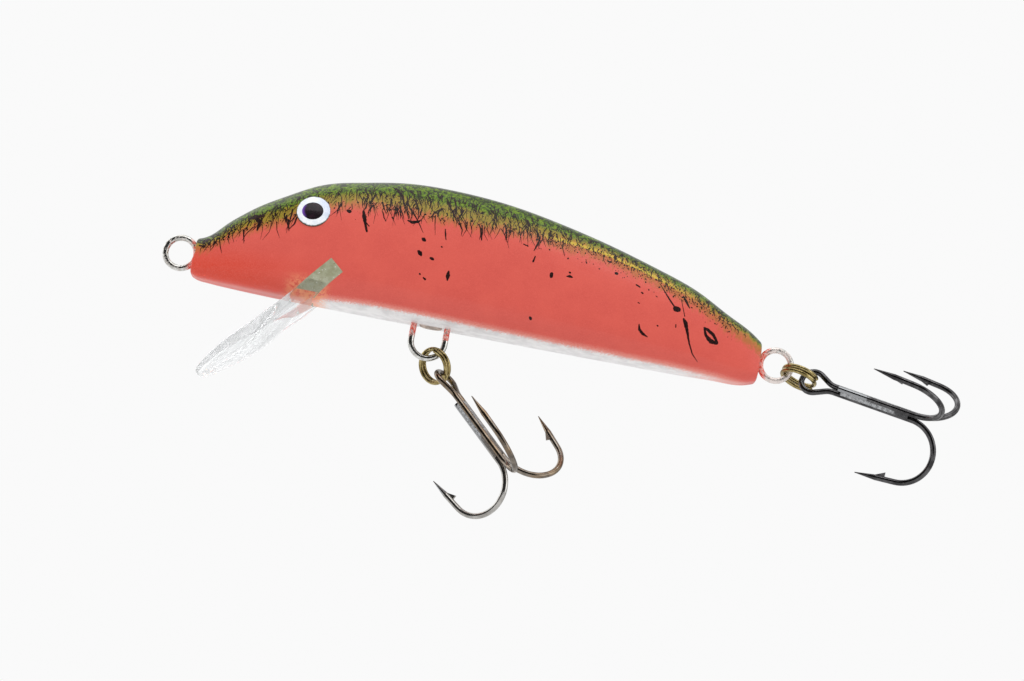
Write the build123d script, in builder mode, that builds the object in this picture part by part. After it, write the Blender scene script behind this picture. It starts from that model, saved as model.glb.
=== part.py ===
from build123d import *
from math import asin, degrees
import os

# Crankbait lure, 70 mm body, nose to the left.
# Frame: the origin is the centre of the nose loop (line tie), +X runs from nose to tail,
# +Z towards the back of the lure, -Y is the left flank. All sizes are in millimetres.

os.makedirs("parts", exist_ok=True)

# ---- body form -------------------------------------------------------------------
# Each station: x, height of the back, height of the belly, half width.
STATIONS = [
    (1.7, 2.1, -2.40, 2.20),
    (2.5, 2.4, -2.72, 2.52),
    (3.5, 3.1, -2.82, 2.85),
    (4.7, 4.4, -2.88, 3.15),
    (6.2, 5.8, -2.93, 3.48),
    (8.2, 7.4, -2.98, 3.86),
    (11.2, 9.3, -3.03, 4.27),
    (15.0, 11.4, -3.06, 4.65),
    (20.0, 12.75, -3.08, 4.90),
    (25.0, 13.65, -3.10, 5.00),
    (31.0, 13.90, -3.10, 5.00),
    (38.0, 13.45, -3.10, 4.90),
    (45.0, 12.25, -3.10, 4.65),
    (52.0, 10.60, -3.10, 4.30),
    (58.0, 8.85, -3.10, 3.90),
    (63.0, 7.05, -3.06, 3.50),
    (67.0, 4.95, -3.00, 3.05),
    (70.0, 3.40, -2.86, 2.60),
    (71.3, 2.45, -2.45, 2.15),
]
# Half of a cross-section, from the belly line to the back ridge:
# share of the half width, share of the height.
SECTION = [(0.55, 0.012), (0.86, 0.095), (1.0, 0.33), (0.93, 0.58), (0.68, 0.83), (0.35, 0.96)]
LACQUER = 0.25
NOSE_HOLLOW_R = 1.9

# ---- wires in the body -----------------------------------------------------------
WIRE_R = 0.375
LOOP_R = 1.875
LINE_TIE_BORE_R = 1.52
TAIL_LOOP_X = 73.4
TAIL_LOOP_Z = 0.1
WIRE_RISE_Z = 5.0
HANGER_WIRE_R = 0.38
HANGER_X = 31.45
HANGER_ARC_Z = -5.02
HANGER_ARC_R = 2.05
HANGER_TOP_Z = 2.6
BALLAST_R = 1.4
BALLAST_TOP = 2.4
BALLAST_BOTTOM = -2.1

# ---- diving lip ------------------------------------------------------------------
LIP_ANGLE = 49.5
LIP_HEEL = (18.35, 0.0, 1.85)
LIP_LENGTH = 20.9
LIP_SEAT = 6.6
LIP_ROOT_T = 2.04
LIP_TIP_T = 0.5
LIP_CUP_AT = 14.2
LIP_CUP_R = 6.3
LIP_CUP_DEPTH = 1.1
TONGUE_HALF = 4.45
SLOT_GAP = 0.08

# ---- eyes ------------------------------------------------------------------------
EYE_AT = (15.05, -3.81, 7.35)
EYE_NORMAL = (-0.11, -0.946, 0.306)
EYE_R = 2.07
EYE_DEPTH = 0.34
EYE_PROUD = 0.2
PUPIL_T = 0.12

# ---- split rings -----------------------------------------------------------------
RING_R = 2.05
RING_WIRE_R = 0.27
RING_PITCH = 0.58
RING_TURNS = 1.9
BELLY_RING_AT = (32.833, 0.066, -7.761)
BELLY_RING_AXIS = (-0.566, -0.717, -0.406)
BELLY_RING_START = (-0.502, -0.091, 0.860)
TAIL_RING_AT = (76.439, 0.058, -0.742)
TAIL_RING_AXIS = (0.270, 0.171, 0.948)
TAIL_RING_START = (0.908, 0.284, -0.309)

# ---- treble hooks ----------------------------------------------------------------
HOOK_WIRE_R = 0.36
HOOK_LENGTH = 19.0
BUNDLE_R = 0.45
BEND_R = 3.86
BEND_SWEEP = 174
POINT_RUN = 5.0
POINT_TAPER = 2.6
POINT_R = 0.05
HOOK_EYE_R = 1.42
BRAZE_R = 0.62
BRAZE_START = 5.6
BRAZE_END = 14.3
SINGLE_START = 5.2
BARB_BACK = 3.7
BARB_TOP = 0.86
BELLY_HOOK_EYE = (33.237, 0.023, -8.386)
BELLY_HOOK_ALONG = (0.651, -0.376, -0.659)
BELLY_HOOK_SINGLE = (-0.524, 0.406, -0.749)
TAIL_HOOK_EYE = (76.523, 0.227, -0.613)
TAIL_HOOK_ALONG = (0.9249, -0.3183, -0.2077)
TAIL_HOOK_SINGLE = (-0.2494, -0.9194, 0.3048)


def section_points(top, bottom, half):
    """Closed cross-section outline, from the belly line up one flank and down the other."""
    height = top - bottom
    left = [(half * a, bottom + height * b) for a, b in SECTION]
    right = [(-a, b) for a, b in reversed(left)]
    return [(0, bottom)] + left + [(0, top)] + right


def bend_centre():
    """Centre of a hook's round bend in its prong plane."""
    return (BUNDLE_R + BEND_R, HOOK_LENGTH - HOOK_WIRE_R - BEND_R)


def prong_plane(angle):
    """Plane of one prong: local x points away from the shank, local y runs along it."""
    out = Vector(1, 0, 0).rotate(Axis.Z, angle)
    return Plane(origin=(0, 0, 0), x_dir=out, z_dir=out.cross(Vector(0, 0, 1)))


# ---- body forms ------------------------------------------------------------------
with BuildPart() as body_form:
    for x, top, bottom, half in STATIONS:
        with BuildSketch(Plane.YZ.offset(x)):
            with BuildLine():
                Spline(*section_points(top, bottom, half), periodic=True)
            make_face()
    loft()
    # the nose face is dished, so that a pin or clip passes through the line tie
    with BuildSketch(Plane.XZ):
        Circle(NOSE_HOLLOW_R)
    extrude(amount=8, both=True, mode=Mode.SUBTRACT)

with BuildPart() as core_form:
    for number, (x, top, bottom, half) in enumerate(STATIONS):
        shift = LACQUER if number == 0 else 0
        shift = -LACQUER if number == len(STATIONS) - 1 else shift
        with BuildSketch(Plane.YZ.offset(x + shift)):
            with BuildLine():
                Spline(
                    *section_points(top - LACQUER, bottom + LACQUER, half - LACQUER),
                    periodic=True,
                )
            make_face()
    loft()
    with BuildSketch(Plane.XZ):
        Circle(NOSE_HOLLOW_R + LACQUER)
    extrude(amount=8, both=True, mode=Mode.SUBTRACT)

# ---- through wire: line tie, run inside the body, tail loop -----------------------
with BuildPart() as through_wire:
    with Locations(Location((0, 0, 0), (90, 0, 0))):
        Torus(LOOP_R, WIRE_R)
    with Locations(Location((TAIL_LOOP_X, 0, TAIL_LOOP_Z), (90, 0, 0))):
        Torus(LOOP_R, WIRE_R)
    with BuildLine(Plane.XZ) as run:
        FilletPolyline(
            (LOOP_R, 0),
            (6.5, 0),
            (13.0, WIRE_RISE_Z),
            (60.0, WIRE_RISE_Z),
            (67.0, TAIL_LOOP_Z),
            (TAIL_LOOP_X - LOOP_R, TAIL_LOOP_Z),
            radius=4.0,
        )
    with BuildSketch(Plane(origin=(LOOP_R, 0, 0), x_dir=(0, 1, 0), z_dir=(1, 0, 0))):
        Circle(WIRE_R)
    sweep(path=run.line)
    # burnished band inside the line tie
    with BuildSketch(Plane.XZ):
        Circle(LINE_TIE_BORE_R)
    extrude(amount=2, both=True, mode=Mode.SUBTRACT)
through_wire.part.label = "through_wire"

# ---- belly hanger: a U of wire with its legs splayed inside the body ----------------
with BuildPart() as belly_hanger:
    with BuildLine(Plane.XZ) as hanger_path:
        leg = HANGER_ARC_R
        FilletPolyline(
            (HANGER_X - leg - 1.2, HANGER_TOP_Z + 1.2),
            (HANGER_X - leg, HANGER_TOP_Z),
            (HANGER_X - leg, HANGER_ARC_Z),
            radius=1.0,
        )
        CenterArc((HANGER_X, HANGER_ARC_Z), leg, 180, 180)
        FilletPolyline(
            (HANGER_X + leg, HANGER_ARC_Z),
            (HANGER_X + leg, HANGER_TOP_Z),
            (HANGER_X + leg + 1.2, HANGER_TOP_Z + 1.2),
            radius=1.0,
        )
    with BuildSketch(Plane(origin=hanger_path.line @ 0, z_dir=hanger_path.line % 0)):
        Circle(HANGER_WIRE_R)
    sweep(path=hanger_path.line)
belly_hanger.part.label = "belly_hanger"

# ---- ballast slug and the filler under it -----------------------------------------
with BuildPart() as ballast_weight:
    with BuildSketch(Plane.XY.offset(BALLAST_BOTTOM)):
        with Locations((HANGER_X, 0)):
            Circle(BALLAST_R)
    extrude(amount=BALLAST_TOP - BALLAST_BOTTOM)
    fillet(ballast_weight.edges().sort_by(Axis.Z)[-1], 0.4)
ballast_weight.part.label = "ballast_weight"

with BuildPart() as weight_filler:
    with BuildSketch(Plane.XY.offset(BALLAST_BOTTOM)):
        with Locations((HANGER_X, 0)):
            Circle(BALLAST_R)
    extrude(amount=-2)
    add(body_form.part, mode=Mode.INTERSECT)
weight_filler.part.label = "weight_filler"

# ---- diving lip: a clear wedge blade with a square tongue --------------------------
heel = Vector(*LIP_HEEL)
lip_down = Vector(-1, 0, 0).rotate(Axis.Y, -LIP_ANGLE)
lip_back = Vector(0, 0, -1).rotate(Axis.Y, -LIP_ANGLE)
lip_face = Plane(origin=heel, x_dir=lip_down, z_dir=lip_back)
lip_side = Plane(origin=heel, x_dir=lip_down, z_dir=lip_down.cross(lip_back))

cup_ball_r = (LIP_CUP_R**2 + LIP_CUP_DEPTH**2) / (2 * LIP_CUP_DEPTH)
cup_slope = (LIP_ROOT_T - LIP_TIP_T) / (LIP_LENGTH + 0.1 - LIP_SEAT)
cup_back_t = LIP_ROOT_T - (LIP_CUP_AT - LIP_SEAT) * cup_slope
cup_out = (lip_back + lip_down * cup_slope).normalized()
cup_base = heel + lip_down * LIP_CUP_AT + lip_back * cup_back_t
cup_latitude = degrees(asin((cup_ball_r - LIP_CUP_DEPTH - 0.15) / cup_ball_r))

with BuildPart() as lip_prism:
    with BuildSketch(lip_face):
        with BuildLine():
            Line((0, -TONGUE_HALF), (0, TONGUE_HALF))
            Line((0, TONGUE_HALF), (LIP_SEAT + 0.6, TONGUE_HALF))
            Spline(
                (LIP_SEAT + 0.6, TONGUE_HALF),
                (11.0, 5.35),
                (14.6, 6.2),
                (17.6, 5.9),
                (19.9, 3.9),
                (LIP_LENGTH, 0),
                (19.9, -3.9),
                (17.6, -5.9),
                (14.6, -6.2),
                (11.0, -5.35),
                (LIP_SEAT + 0.6, -TONGUE_HALF),
                tangents=[(1, 0), (-1, 0)],
            )
            Line((LIP_SEAT + 0.6, -TONGUE_HALF), (0, -TONGUE_HALF))
        make_face()
    extrude(amount=LIP_ROOT_T + LIP_CUP_DEPTH)

with BuildPart() as cup_cap:
    with Locations(Plane(origin=cup_base + cup_out * (LIP_CUP_DEPTH - cup_ball_r), x_dir=(0, 1, 0), z_dir=cup_out)):
        Sphere(cup_ball_r, arc_size1=cup_latitude, align=None)
    add(lip_prism.part, mode=Mode.INTERSECT)

with BuildPart() as diving_lip:
    add(lip_prism.part)
    with BuildSketch(lip_side):
        with BuildLine():
            Polyline(
                (0, 0),
                (0, LIP_ROOT_T),
                (LIP_SEAT, LIP_ROOT_T),
                (LIP_LENGTH + 0.1, LIP_TIP_T),
                (LIP_LENGTH + 0.1, 0),
                close=True,
            )
        make_face()
    extrude(amount=9, both=True, mode=Mode.INTERSECT)
    # the blade is cupped like a spoon: a cap bulges on its back, its front is hollowed
    add(cup_cap.part)
    with Locations(heel + lip_down * LIP_CUP_AT + lip_back * (LIP_CUP_DEPTH - cup_ball_r)):
        Sphere(cup_ball_r, mode=Mode.SUBTRACT)
diving_lip.part.label = "diving_lip"

with BuildPart() as lip_slot:
    with BuildSketch(lip_side):
        with Locations((-SLOT_GAP, -SLOT_GAP)):
            Rectangle(12, LIP_ROOT_T + 2 * SLOT_GAP, align=(Align.MIN, Align.MIN))
    extrude(amount=8, both=True)

with BuildPart() as lip_epoxy:
    add(lip_slot.part)
    add(body_form.part, mode=Mode.INTERSECT)
    add(diving_lip.part, mode=Mode.SUBTRACT)
lip_epoxy.part.label = "lip_epoxy"

# ---- eyes: shallow discs let into the head, each with an inlaid pupil ---------------
left_eye_plane = Plane(origin=EYE_AT, x_dir=(1, 0, 0), z_dir=EYE_NORMAL)
right_eye_plane = Plane(
    origin=(EYE_AT[0], -EYE_AT[1], EYE_AT[2]),
    x_dir=(1, 0, 0),
    z_dir=(EYE_NORMAL[0], -EYE_NORMAL[1], EYE_NORMAL[2]),
)

with BuildPart() as eye_pockets:
    for plane in (left_eye_plane, right_eye_plane):
        with BuildSketch(plane.offset(-EYE_DEPTH)):
            Circle(EYE_R)
        extrude(amount=3)

with BuildPart() as left_pupil:
    with BuildSketch(left_eye_plane.offset(EYE_PROUD - PUPIL_T)):
        Ellipse(1.25, 1.08)
    extrude(amount=PUPIL_T)
left_pupil.part.label = "left_pupil"

with BuildPart() as left_eye_disc:
    with BuildSketch(left_eye_plane.offset(-EYE_DEPTH)):
        Circle(EYE_R)
    extrude(amount=EYE_DEPTH + EYE_PROUD)
    fillet(left_eye_disc.edges().filter_by(GeomType.CIRCLE).sort_by(Axis.Y)[0], 0.15)
    add(left_pupil.part, mode=Mode.SUBTRACT)
left_eye_disc.part.label = "left_eye_disc"

with BuildPart() as right_pupil:
    with BuildSketch(right_eye_plane.offset(EYE_PROUD - PUPIL_T)):
        Ellipse(1.25, 1.08)
    extrude(amount=PUPIL_T)
right_pupil.part.label = "right_pupil"

with BuildPart() as right_eye_disc:
    with BuildSketch(right_eye_plane.offset(-EYE_DEPTH)):
        Circle(EYE_R)
    extrude(amount=EYE_DEPTH + EYE_PROUD)
    fillet(right_eye_disc.edges().filter_by(GeomType.CIRCLE).sort_by(Axis.Y)[-1], 0.15)
    add(right_pupil.part, mode=Mode.SUBTRACT)
right_eye_disc.part.label = "right_eye_disc"

# ---- everything that the body halves and the lacquer make room for -------------------
INLAYS = [
    through_wire.part,
    belly_hanger.part,
    ballast_weight.part,
    weight_filler.part,
    lip_slot.part,
    eye_pockets.part,
]

with BuildPart() as painted_skin:
    add(body_form.part)
    add(core_form.part, mode=Mode.SUBTRACT)
    for inlay in INLAYS:
        add(inlay, mode=Mode.SUBTRACT)
painted_skin.part.label = "painted_skin"

with BuildPart() as core_with_room:
    add(core_form.part)
    for inlay in INLAYS:
        add(inlay, mode=Mode.SUBTRACT)

with BuildPart() as body_left_half:
    add(core_with_room.part)
    split(bisect_by=Plane.XZ, keep=Keep.TOP)
body_left_half.part.label = "body_left_half"

with BuildPart() as body_right_half:
    add(core_with_room.part)
    split(bisect_by=Plane.XZ, keep=Keep.BOTTOM)
body_right_half.part.label = "body_right_half"

# ---- split ring: two close turns of wire ---------------------------------------------
with BuildPart() as ring_form:
    height = RING_TURNS * RING_PITCH
    with BuildLine() as ring_path:
        Helix(pitch=RING_PITCH, height=height, radius=RING_R, center=(0, 0, -height / 2))
    with BuildSketch(Plane(origin=ring_path.line @ 0, z_dir=ring_path.line % 0)):
        Circle(RING_WIRE_R)
    sweep(path=ring_path.line, is_frenet=True)

belly_ring_plane = Plane(origin=BELLY_RING_AT, x_dir=BELLY_RING_START, z_dir=BELLY_RING_AXIS)
tail_ring_plane = Plane(origin=TAIL_RING_AT, x_dir=TAIL_RING_START, z_dir=TAIL_RING_AXIS)

with BuildPart() as belly_split_ring:
    add(ring_form.part.moved(belly_ring_plane.location))
belly_split_ring.part.label = "belly_split_ring"

with BuildPart() as tail_split_ring:
    add(ring_form.part.moved(tail_ring_plane.location))
tail_split_ring.part.label = "tail_split_ring"

# ---- treble hook, along +Z from the outer end of its eye -----------------------------
centre = bend_centre()


def make_prong(angle, start):
    """One prong: shank run, round bend, point and barb."""
    plane = prong_plane(angle)
    out = plane.x_dir
    with BuildPart() as prong:
        with BuildLine(plane) as path:
            Line((BUNDLE_R, start), (BUNDLE_R, centre[1]))
            bend = CenterArc(centre, BEND_R, 180, -BEND_SWEEP)
            PolarLine(bend @ 1, POINT_RUN - POINT_TAPER, 90 - BEND_SWEEP)
        with BuildSketch(Plane(origin=path.line @ 0, z_dir=path.line % 0)):
            Circle(HOOK_WIRE_R)
        sweep(path=path.line)
        root = path.line @ 1
        away = path.line % 1
        with BuildSketch(Plane(origin=root, z_dir=away)):
            Circle(HOOK_WIRE_R)
        with BuildSketch(Plane(origin=root + away * POINT_TAPER, z_dir=away)):
            Circle(POINT_R)
        loft()
        # the barb is a sliver raised on the inner side, open towards the bend
        foot = root + away * (POINT_TAPER - BARB_BACK)
        with BuildSketch(Plane(origin=foot, x_dir=away, z_dir=away.cross(out))):
            with BuildLine():
                Polyline((0, -0.28), (0, -BARB_TOP), (1.5, -0.18), close=True)
            make_face()
        extrude(amount=0.13, both=True)
    return prong.part


upper_prong = make_prong(120, 6.0)
lower_prong = make_prong(-120, 6.0)
lone_prong = make_prong(0, SINGLE_START)

with BuildPart() as double_form:
    eye_plane = Plane(origin=(-BUNDLE_R / 2, 0, 0), x_dir=(0, 1, 0), z_dir=(1, 0, 0))
    with BuildLine(eye_plane) as eye_path:
        eye_centre = HOOK_WIRE_R + HOOK_EYE_R
        neck = BUNDLE_R * 0.8660254
        reach = Vector(HOOK_EYE_R, 0, 0).rotate(Axis.Z, 28)
        FilletPolyline((neck, 6.0), (neck, 4.07), (reach.X, eye_centre + reach.Y), radius=2.0)
        CenterArc((0, eye_centre), HOOK_EYE_R, 28, -236)
        FilletPolyline((-reach.X, eye_centre + reach.Y), (-neck, 4.07), (-neck, 6.0), radius=2.0)
    with BuildSketch(Plane(origin=eye_path.line @ 0, z_dir=eye_path.line % 0)):
        Circle(HOOK_WIRE_R)
    sweep(path=eye_path.line)
    add(upper_prong)
    add(lower_prong)

with BuildPart() as single_form:
    add(lone_prong)

with BuildPart() as braze_form:
    with BuildSketch(Plane.XY.offset(BRAZE_START)):
        Circle(BRAZE_R)
        with PolarLocations(BUNDLE_R, 3):
            Circle(HOOK_WIRE_R, mode=Mode.SUBTRACT)
    extrude(amount=BRAZE_END - BRAZE_START)

belly_hook_plane = Plane(origin=BELLY_HOOK_EYE, x_dir=BELLY_HOOK_SINGLE, z_dir=BELLY_HOOK_ALONG)
tail_hook_plane = Plane(origin=TAIL_HOOK_EYE, x_dir=TAIL_HOOK_SINGLE, z_dir=TAIL_HOOK_ALONG)

with BuildPart() as belly_hook_double:
    add(double_form.part.moved(belly_hook_plane.location))
belly_hook_double.part.label = "belly_hook_double"

with BuildPart() as belly_hook_single:
    add(single_form.part.moved(belly_hook_plane.location))
belly_hook_single.part.label = "belly_hook_single"

with BuildPart() as belly_hook_braze:
    add(braze_form.part.moved(belly_hook_plane.location))
belly_hook_braze.part.label = "belly_hook_braze"

with BuildPart() as tail_hook_double:
    add(double_form.part.moved(tail_hook_plane.location))
tail_hook_double.part.label = "tail_hook_double"

with BuildPart() as tail_hook_single:
    add(single_form.part.moved(tail_hook_plane.location))
tail_hook_single.part.label = "tail_hook_single"

with BuildPart() as tail_hook_braze:
    add(braze_form.part.moved(tail_hook_plane.location))
tail_hook_braze.part.label = "tail_hook_braze"

# ---- one STEP file per piece ---------------------------------------------------------
export_step(body_left_half.part, "parts/body_left_half.step")
export_step(body_right_half.part, "parts/body_right_half.step")
export_step(painted_skin.part, "parts/painted_skin.step")
export_step(through_wire.part, "parts/through_wire.step")
export_step(belly_hanger.part, "parts/belly_hanger.step")
export_step(ballast_weight.part, "parts/ballast_weight.step")
export_step(weight_filler.part, "parts/weight_filler.step")
export_step(diving_lip.part, "parts/diving_lip.step")
export_step(lip_epoxy.part, "parts/lip_epoxy.step")
export_step(left_eye_disc.part, "parts/left_eye_disc.step")
export_step(left_pupil.part, "parts/left_pupil.step")
export_step(right_eye_disc.part, "parts/right_eye_disc.step")
export_step(right_pupil.part, "parts/right_pupil.step")
export_step(belly_split_ring.part, "parts/belly_split_ring.step")
export_step(belly_hook_double.part, "parts/belly_hook_double.step")
export_step(belly_hook_single.part, "parts/belly_hook_single.step")
export_step(belly_hook_braze.part, "parts/belly_hook_braze.step")
export_step(tail_split_ring.part, "parts/tail_split_ring.step")
export_step(tail_hook_double.part, "parts/tail_hook_double.step")
export_step(tail_hook_single.part, "parts/tail_hook_single.step")
export_step(tail_hook_braze.part, "parts/tail_hook_braze.step")
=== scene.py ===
import math
import random

import bmesh
import bpy
import numpy as np
from mathutils import Matrix, Vector


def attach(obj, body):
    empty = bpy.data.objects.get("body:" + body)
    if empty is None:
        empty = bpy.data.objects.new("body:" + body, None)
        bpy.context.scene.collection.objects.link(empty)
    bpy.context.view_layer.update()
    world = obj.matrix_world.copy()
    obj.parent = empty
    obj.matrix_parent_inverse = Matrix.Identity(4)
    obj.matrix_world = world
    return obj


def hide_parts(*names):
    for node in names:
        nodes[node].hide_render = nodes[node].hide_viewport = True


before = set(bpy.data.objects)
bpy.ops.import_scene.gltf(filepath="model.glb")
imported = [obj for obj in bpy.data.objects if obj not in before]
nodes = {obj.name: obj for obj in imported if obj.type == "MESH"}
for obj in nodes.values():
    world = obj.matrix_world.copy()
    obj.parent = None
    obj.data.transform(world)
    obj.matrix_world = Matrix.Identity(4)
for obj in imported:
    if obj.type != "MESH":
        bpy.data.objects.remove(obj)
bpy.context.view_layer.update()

MM = 0.001
scene = bpy.context.scene

# ---------------------------------------------------------------- small helpers


def unit(v):
    """The vector scaled to length one."""
    v = np.asarray(v, float)
    return v / np.linalg.norm(v)


def new_object(name, verts, faces, material):
    """A smooth-shaded mesh object from points in millimetres."""
    mesh = bpy.data.meshes.new(name)
    mesh.from_pydata([tuple(float(c) * MM for c in v) for v in verts], [], faces)
    mesh.validate()
    mesh.update()
    obj = bpy.data.objects.new(name, mesh)
    scene.collection.objects.link(obj)
    obj.data.materials.append(material)
    mesh.polygons.foreach_set("use_smooth", [True] * len(mesh.polygons))
    return obj


def recalc(obj):
    """Merge doubled points and turn all faces outwards."""
    bm = bmesh.new()
    bm.from_mesh(obj.data)
    bmesh.ops.remove_doubles(bm, verts=bm.verts, dist=1e-7)
    bmesh.ops.recalc_face_normals(bm, faces=bm.faces)
    bm.to_mesh(obj.data)
    bm.free()
    return obj


def grid_faces(rows, columns, closed=False):
    """Quads between neighbouring rows of points; a closed grid joins the ends of each row."""
    faces = []
    for i in range(rows - 1):
        here, after = i * columns, (i + 1) * columns
        for j in range(columns if closed else columns - 1):
            k = (j + 1) % columns
            faces.append((here + j, here + k, after + k, after + j))
    return faces


def add_attribute(obj, name, values):
    """One number for each point, which a material can read."""
    attr = obj.data.attributes.new(name, "FLOAT", "POINT")
    attr.data.foreach_set("value", np.asarray(values, np.float32))


class Shader:
    """A node material whose positions are in millimetres of the lure's own frame."""

    def __init__(self, name):
        self.material = bpy.data.materials.new(name)
        self.material.use_nodes = True
        self.tree = self.material.node_tree
        self.tree.nodes.clear()
        self.out = self.node("ShaderNodeOutputMaterial")
        self.bsdf = self.node("ShaderNodeBsdfPrincipled")
        self.link(self.bsdf.outputs[0], self.out.inputs[0])
        coords = self.node("ShaderNodeTexCoord")
        scaled = self.node("ShaderNodeVectorMath", operation="SCALE")
        scaled.inputs["Scale"].default_value = 1 / MM
        self.link(coords.outputs["Object"], scaled.inputs[0])
        self.pos = scaled.outputs[0]
        split = self.node("ShaderNodeSeparateXYZ")
        self.link(self.pos, split.inputs[0])
        self.x, self.y, self.z = split.outputs

    def node(self, kind, **settings):
        made = self.tree.nodes.new(kind)
        for key, value in settings.items():
            setattr(made, key, value)
        return made

    def link(self, a, b):
        self.tree.links.new(a, b)

    def put(self, socket, value):
        if isinstance(value, (int, float, tuple, list)):
            if isinstance(value, (tuple, list)) and len(socket.default_value) == 4:
                value = tuple(value)[:3] + (1.0,)
            socket.default_value = value
        else:
            self.link(value, socket)

    def set(self, name, value):
        self.put(self.bsdf.inputs[name], value)

    def roughness(self, base, spread, noise):
        self.set("Roughness", self.plus(base, self.times(noise, spread)))

    def math(self, operation, a, b=0.0, clamp=False):
        made = self.node("ShaderNodeMath", operation=operation, use_clamp=clamp)
        self.put(made.inputs[0], a)
        self.put(made.inputs[1], b)
        return made.outputs[0]

    def plus(self, a, b):
        return self.math("ADD", a, b)

    def minus(self, a, b):
        return self.math("SUBTRACT", a, b)

    def times(self, a, b):
        return self.math("MULTIPLY", a, b)

    def larger(self, a, b):
        return self.math("MAXIMUM", a, b)

    def size(self, a):
        return self.math("ABSOLUTE", a)

    def shaken(self, value, noise, amount, middle=0.5):
        """The value moved up and down by a noise that swings about its middle."""
        return self.plus(value, self.times(self.minus(noise, middle), amount))

    def smooth(self, value, low, high):
        """0 below low, 1 above high, smooth between; low above high turns it round."""
        made = self.node("ShaderNodeMapRange", interpolation_type="SMOOTHSTEP")
        self.put(made.inputs["Value"], value)
        rising = low <= high
        self.put(made.inputs["From Min"], min(low, high))
        self.put(made.inputs["From Max"], max(low, high))
        self.put(made.inputs["To Min"], 0.0 if rising else 1.0)
        self.put(made.inputs["To Max"], 1.0 if rising else 0.0)
        return made.outputs["Result"]

    def mix(self, factor, a, b):
        made = self.node("ShaderNodeMix", data_type="RGBA")
        self.put(made.inputs[0], factor)
        self.put(made.inputs[6], a)
        self.put(made.inputs[7], b)
        return made.outputs[2]

    def stretch(self, sx, sy, sz):
        made = self.node("ShaderNodeVectorMath", operation="MULTIPLY")
        self.link(self.pos, made.inputs[0])
        made.inputs[1].default_value = (sx, sy, sz)
        return made.outputs[0]

    def noise(self, scale, detail=3.0, rough=0.5, vector=None, distort=0.0):
        made = self.node("ShaderNodeTexNoise")
        self.link(self.pos if vector is None else vector, made.inputs["Vector"])
        made.inputs["Scale"].default_value = scale
        made.inputs["Detail"].default_value = detail
        made.inputs["Roughness"].default_value = rough
        made.inputs["Distortion"].default_value = distort
        return made.outputs[0]

    def cells(self, scale):
        """Distance to the nearest of many scattered points."""
        made = self.node("ShaderNodeTexVoronoi", feature="F1")
        self.link(self.pos, made.inputs["Vector"])
        made.inputs["Scale"].default_value = scale
        return made.outputs["Distance"]

    def bump(self, height, distance, strength=1.0):
        made = self.node("ShaderNodeBump")
        made.inputs["Strength"].default_value = strength
        made.inputs["Distance"].default_value = distance * MM
        self.put(made.inputs["Height"], height)
        self.link(made.outputs[0], self.bsdf.inputs["Normal"])

    def attribute(self, name):
        made = self.node("ShaderNodeAttribute", attribute_name=name)
        return made.outputs["Fac"]

    def along(self, origin, axis):
        """Distance in millimetres along an axis from a point."""
        made = self.node("ShaderNodeVectorMath", operation="SUBTRACT")
        self.link(self.pos, made.inputs[0])
        made.inputs[1].default_value = origin
        dot = self.node("ShaderNodeVectorMath", operation="DOT_PRODUCT")
        self.link(made.outputs[0], dot.inputs[0])
        dot.inputs[1].default_value = tuple(unit(axis))
        return dot.outputs["Value"]


def srgb(r, g, b):
    """A colour given in 0-255 screen values, as linear light."""
    out = []
    for c in (r, g, b):
        c = c / 255.0
        out.append(c / 12.92 if c <= 0.04045 else ((c + 0.055) / 1.055) ** 2.4)
    return tuple(out)


# ---------------------------------------------------------------- the viewpoint

# the viewer looks at the left flank from slightly under the belly, with the nose tipped up
LOOK_UP = math.radians(10.0)
TILT = math.radians(10.81)
DISTANCE = 345.0
AIM_X, AIM_UP = 41.43, -2.9
AFT = np.array([1.0, 0.0, 0.0])
UP = np.array([0.0, -math.sin(LOOK_UP), math.cos(LOOK_UP)])
TOWARDS = np.array([0.0, -math.cos(LOOK_UP), -math.sin(LOOK_UP)])
RIGHT = AFT * math.cos(TILT) + UP * math.sin(TILT)
UPWARD = UP * math.cos(TILT) - AFT * math.sin(TILT)

# ---------------------------------------------------------------- the body's form

# x, top, bottom and half width of the body, the same as in the part
STATIONS = np.array([
    (1.7, 2.1, -2.40, 2.20), (2.5, 2.4, -2.72, 2.52), (3.5, 3.1, -2.82, 2.85),
    (4.7, 4.4, -2.88, 3.15), (6.2, 5.8, -2.93, 3.48), (8.2, 7.4, -2.98, 3.86),
    (11.2, 9.3, -3.03, 4.27), (15.0, 11.4, -3.06, 4.65), (20.0, 12.75, -3.08, 4.90),
    (25.0, 13.65, -3.10, 5.00), (31.0, 13.90, -3.10, 5.00), (38.0, 13.45, -3.10, 4.90),
    (45.0, 12.25, -3.10, 4.65), (52.0, 10.60, -3.10, 4.30), (58.0, 8.85, -3.10, 3.90),
    (63.0, 7.05, -3.06, 3.50), (67.0, 4.95, -3.00, 3.05), (70.0, 3.40, -2.86, 2.60),
    (71.3, 2.45, -2.45, 2.15),
])
# one flank of the cross-section, as shares of the half width and of the height
SECTION = [(0.55, 0.012), (0.86, 0.095), (1.0, 0.33), (0.93, 0.58), (0.68, 0.83), (0.35, 0.96)]


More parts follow.
